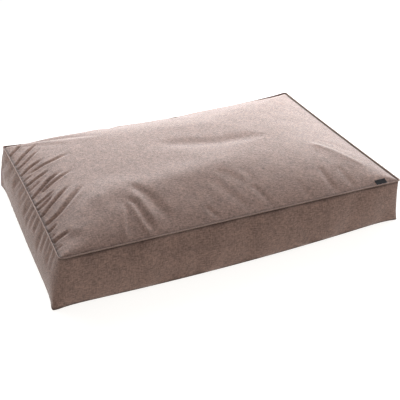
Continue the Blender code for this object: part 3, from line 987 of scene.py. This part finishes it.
class Nodes:
    """A material's node tree, with short ways to add and join nodes."""

    def __init__(self, name):
        self.material = bpy.data.materials.new(name)
        self.material.use_nodes = True
        self.tree = self.material.node_tree
        self.shader = self.tree.nodes["Principled BSDF"]

    def add(self, kind, inputs=(), **settings):
        node = self.tree.nodes.new(kind)
        for key, value in settings.items():
            setattr(node, key, value)
        for key, value in dict(inputs).items():
            if isinstance(value, bpy.types.NodeSocket):
                self.tree.links.new(value, node.inputs[key])
            else:
                node.inputs[key].default_value = value
        return node

    def join(self, source, key):
        self.tree.links.new(source, self.shader.inputs[key])

    def fix(self, **values):
        for key, value in values.items():
            self.shader.inputs[key.replace("_", " ")].default_value = value

    def maths(self, operation, a, b=0.0, c=0.0):
        return self.add("ShaderNodeMath", {0: a, 1: b, 2: c}, operation=operation).outputs[0]

    def noise(self, vector, stretch, detail, roughness):
        mapping = self.add("ShaderNodeMapping", {"Vector": vector, "Scale": stretch})
        inputs = {"Vector": mapping.outputs[0], "Scale": 1.0, "Detail": detail, "Roughness": roughness}
        return self.add("ShaderNodeTexNoise", inputs).outputs["Fac"]

    def grain(self, scale, detail, roughness):
        """Noise through the solid, the same in all directions."""
        place = self.add("ShaderNodeTexCoord").outputs["Object"]
        return self.noise(place, (scale,) * 3, detail, roughness)

    def blend(self, share, a, b):
        """A colour between a and b."""
        return self.add("ShaderNodeMix", {0: share, 6: a, 7: b}, data_type="RGBA").outputs[2]

    def bump(self, height, strength, distance):
        inputs = {"Height": height, "Strength": strength, "Distance": distance}
        self.join(self.add("ShaderNodeBump", inputs).outputs[0], "Normal")


def shade(colour, factor):
    return (*(c * factor for c in colour), 1.0)


def woven(name, colour, contrast=0.60, yarn=0.0011, thick=0.0036, slub=0.012, sheen=0.38,
          specular=0.5, relief=0.00025):
    """Plain-woven cloth of uneven yarns: streaks both ways, soft mottling and a fine relief, with painted
    shade beside the seams.
    """
    nodes = Nodes(name)
    place = nodes.add("ShaderNodeAttribute", attribute_name="cloth").outputs["Vector"]
    weft = nodes.noise(place, (1 / slub, 1 / thick, 1.0), 3.0, 0.65)
    warp = nodes.noise(place, (1 / thick, 1 / slub, 1.0), 3.0, 0.65)
    speck = nodes.noise(place, (1 / thick, 1 / thick, 1.0), 3.0, 0.7)
    cloud = nodes.noise(place, (28.0, 28.0, 1.0), 3.0, 0.55)
    mixed = 0.0
    for part, share in ((weft, 0.45), (warp, 0.33), (speck, 0.22)):
        mixed = nodes.maths("MULTIPLY_ADD", part, share, mixed)
    tone = nodes.maths("MULTIPLY_ADD", mixed, TONE_GAIN, 0.5 - 0.5 * TONE_GAIN)
    tone = nodes.maths("MULTIPLY_ADD", cloud, CLOUD_GAIN, nodes.maths("SUBTRACT", tone, CLOUD_GAIN / 2))
    tone = nodes.add("ShaderNodeClamp", {"Value": tone}).outputs[0]
    mottled = nodes.blend(tone, shade(colour, 1 - contrast), shade(colour, 1 + contrast))
    # Painted shade: the colour darkens towards the seams, standing in for the shadow in their creases
    seam = nodes.add("ShaderNodeAttribute", attribute_name="seam").outputs["Fac"]
    painted_seam_shade = nodes.maths("MULTIPLY", seam, SEAM_PAINTED_SHADE)
    nodes.join(nodes.blend(painted_seam_shade, mottled, shade(colour, 0.12)), "Base Color")
    nodes.join(nodes.maths("MULTIPLY_ADD", tone, -0.10, 0.74), "Roughness")
    cells = nodes.add("ShaderNodeSeparateXYZ", {0: place})
    waves = []
    for axis in (0, 1):
        waves.append(nodes.maths("SINE", nodes.maths("MULTIPLY", cells.outputs[axis], 2 * math.pi / yarn)))
    weave = nodes.maths("MULTIPLY", waves[0], waves[1])
    nodes.bump(nodes.maths("MULTIPLY_ADD", weave, 0.35, mixed), 0.7, relief)
    nodes.fix(Sheen_Weight=sheen, Sheen_Roughness=0.30, Specular_IOR_Level=specular)
    nodes.fix(Sheen_Tint=shade(SHEEN, 1.0))
    return nodes.material


def plastic_wire(name, colour):
    nodes = Nodes(name)
    wear = nodes.grain(300.0, 3.0, 0.6)
    nodes.join(nodes.blend(wear, shade(colour, 0.75), shade(colour, 1.25)), "Base Color")
    nodes.join(nodes.maths("MULTIPLY_ADD", wear, 0.20, 0.30), "Roughness")
    nodes.bump(wear, 0.2, 0.0001)
    return nodes.material


def enamel(name, colour):
    """Dark enamelled zinc with bare metal showing through where it is rubbed."""
    nodes = Nodes(name)
    grain, rub = nodes.grain(900.0, 4.0, 0.6), nodes.grain(160.0, 3.0, 0.6)
    worn = nodes.add("ShaderNodeMapRange", {"Value": rub, "From Min": 0.60, "From Max": 0.72})
    colours = nodes.blend(worn.outputs[0], shade(colour, 1.0), shade(BARE_METAL, 1.0))
    nodes.join(colours, "Base Color")
    nodes.join(nodes.maths("MULTIPLY_ADD", grain, 0.25, 0.22), "Roughness")
    nodes.bump(grain, 0.15, 0.00005)
    nodes.fix(Metallic=0.85)
    return nodes.material


def fleece(name, colour):
    nodes = Nodes(name)
    tufts = nodes.grain(90.0, 5.0, 0.7)
    nodes.join(nodes.blend(tufts, shade(colour, 0.80), shade(colour, 1.10)), "Base Color")
    nodes.bump(tufts, 0.6, 0.003)
    nodes.fix(Roughness=1.0, Sheen_Weight=0.4)
    return nodes.material


def dress(piece, material, body="cushion", replaces=()):
    """Gives a piece its material and slot, the body that it rides on and what it stands for."""
    piece.data.materials.clear()
    piece.data.materials.append(material)
    if replaces:
        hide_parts(*replaces)
    if body:
        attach(piece, body)


# ---- Floor, light and camera ----


def make_floor():
    plan = ((-1, -1), (1, -1), (1, 1), (-1, 1))
    corners = [(x * FLOOR_HALF, y * FLOOR_HALF, -FLOOR_DROP) for x, y in plan]
    floor = new_mesh("floor", corners, [(0, 1, 2, 3)])
    nodes = Nodes("pale_floor")
    nodes.fix(Roughness=0.9, Specular_IOR_Level=0.1, Emission_Strength=FLOOR_GLOW)
    nodes.fix(Base_Color=shade(FLOOR_COLOUR, 1.0), Emission_Color=shade(FLOOR_LIGHT, 1.0))
    floor.data.materials.append(nodes.material)


def direction(azimuth, elevation):
    """From the cushion out; azimuth 0 is towards the front, and 90 towards +X."""
    a, e = math.radians(azimuth), math.radians(elevation)
    return Vector((math.sin(a) * math.cos(e), -math.cos(a) * math.cos(e), math.sin(e)))


def make_light(name, azimuth, elevation, distance, size, power, colour):
    lamp = bpy.data.lights.new(name, "AREA")
    lamp.shape = "RECTANGLE"
    lamp.size, lamp.size_y = size
    lamp.energy = power
    lamp.color = colour
    made = new_object(name, lamp)
    toward = direction(azimuth, elevation)
    made.location = Vector(LIGHT_TARGET) + toward * distance
    made.rotation_euler = toward.to_track_quat("Z", "Y").to_euler()
    made.visible_camera = False


def make_world():
    world = bpy.data.worlds.new("studio")
    world.use_nodes = True
    back = world.node_tree.nodes["Background"]
    back.inputs["Color"].default_value = (*SKY_COLOUR, 1.0)
    back.inputs["Strength"].default_value = SKY_STRENGTH
    bpy.context.scene.world = world
    bpy.context.scene.view_settings.view_transform = "Standard"


def make_camera():
    lens = bpy.data.cameras.new("camera")
    lens.lens = CAMERA_LENS
    lens.clip_start, lens.clip_end = 0.05, 50
    camera = new_object("camera", lens)
    back = direction(CAMERA_AZIMUTH, CAMERA_ELEVATION)
    camera.location = Vector(CAMERA_TARGET) + back * CAMERA_DISTANCE
    camera.rotation_euler = back.to_track_quat("Z", "Y").to_euler()
    bpy.context.scene.camera = camera


# ---- Making everything ----


def make_panel_pieces(cover, points, canvas):
    """The cover's five panels, folded and thickened; each is called cover_ and its CAD node."""
    panels = make_panels(cover, points)
    panels["cover_bottom_panel"] = make_bottom(cover)
    seams = [dense_ring(points[cover.border_index[row]], 0.002) for row in (0, -1)]
    for name, piece in panels.items():
        if name != "cover_bottom_panel":
            add_folds(piece, np.concatenate(seams))
        thicken(piece)
        dress(piece, canvas, replaces=[name.removeprefix("cover_")])
    return panels


def make_seam_pieces(seam, tree, thread):
    """The welt, and a row of stitches on each side of it."""
    # The welt's colour is the canvas painted lighter, a painted highlight on its ridge
    welt_cloth = woven("welt_canvas_painted_lighter", WELT_PAINTED_LIGHTER, slub=0.006, contrast=0.30, sheen=0.1, specular=0.2)
    dress(make_welt(seam), welt_cloth, replaces=["top_welt"])
    out = outward(seam)
    above = dense_ring(seam - out * 0.0036 + (0, 0, 0.003), 0.004)
    below = dense_ring(seam + out * 0.001 + (0, 0, -0.0034), 0.004)
    for name, line in (("top_panel_stitches", above), ("border_stitches", below)):
        dress(stitch_row(name, line, tree), thread)


def make_label_piece(top_tree):
    """The label, on no body, with its placement baked into its mesh."""
    label_cloth = woven("label_weave", LABEL, yarn=0.0005, thick=0.0007, slub=0.003, sheen=0.0,
                        specular=0.15)
    label = make_label(top_tree)
    dress(label, label_cloth, body=None, replaces=["label_tag"])
    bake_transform(label)


def make_zip_pieces(tree, canvas, thread):
    """The zip's tapes, coils, end tabs and stitches, and the metal look of its slider and pull."""
    tape_cloth = woven("tape_weave", TAPE, yarn=0.0008, thick=0.0008, slub=0.0015, contrast=0.15)
    coil = plastic_wire("nylon", TAPE)
    metal = enamel("enamelled_zinc", ZINC)
    for half in ("upper", "lower"):
        tape = make_tape(f"woven_tape_{half}", f"zip_tape_{half}")
        dress(tape, tape_cloth, replaces=[f"zip_tape_{half}"])
        teeth = make_teeth(f"coil_teeth_{half}", f"zip_coil_{half}")
        dress(teeth, coil, replaces=[f"zip_coil_{half}"])
    for side in ("left", "right"):
        tab = make_end_tab(f"stitched_tab_{side}", f"zip_end_tab_{side}")
        dress(tab, canvas, replaces=[f"zip_end_tab_{side}"])
    for node in ("zip_slider", "zip_pull"):
        round_edges(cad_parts[node])
        dress(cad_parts[node], metal, body=None)
    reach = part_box("zip_coil_upper")[1].x
    rows = {"upper": SLOT_HIGH + ZIP_STITCH_MARGIN, "lower": SLOT_LOW - ZIP_STITCH_MARGIN}
    for half, z in rows.items():
        line = np.linspace(-reach, reach, 60)[:, None] * (1, 0, 0) + (0, BACK_FACE + 0.002, z)
        dress(stitch_row(f"zip_stitches_{half}", line, tree, joined=False), thread)


def make_inner_pieces(cover, points):
    """The inner case's halves and the fibre inside them."""
    lining = woven("lining", LINING, yarn=0.0015, contrast=0.06, sheen=0.2)
    halves, fill = make_inner(cover, under_folds(cover, points))
    for half, node in zip(halves, ("inner_case_upper", "inner_case_lower")):
        dress(half, lining, replaces=[node])
    dress(fill, fleece("polyester_fibre", LINING), replaces=["fibre_fill"])


def build():
    canvas = woven("canvas", CANVAS)
    thread = woven("thread", tuple(c * 0.80 for c in CANVAS), yarn=0.0004, thick=0.0004, slub=0.0012)
    cover = Cover()
    points = inflate(cover)
    panels = make_panel_pieces(cover, points, canvas)
    tree = surface_tree(*panels.values())
    make_seam_pieces(points[cover.border_index[-1]], tree, thread)
    make_label_piece(surface_tree(panels["cover_top_panel"]))
    make_zip_pieces(tree, canvas, thread)
    make_inner_pieces(cover, points)


make_camera()
make_world()
make_floor()
for light in LIGHTS:
    make_light(*light)
build()
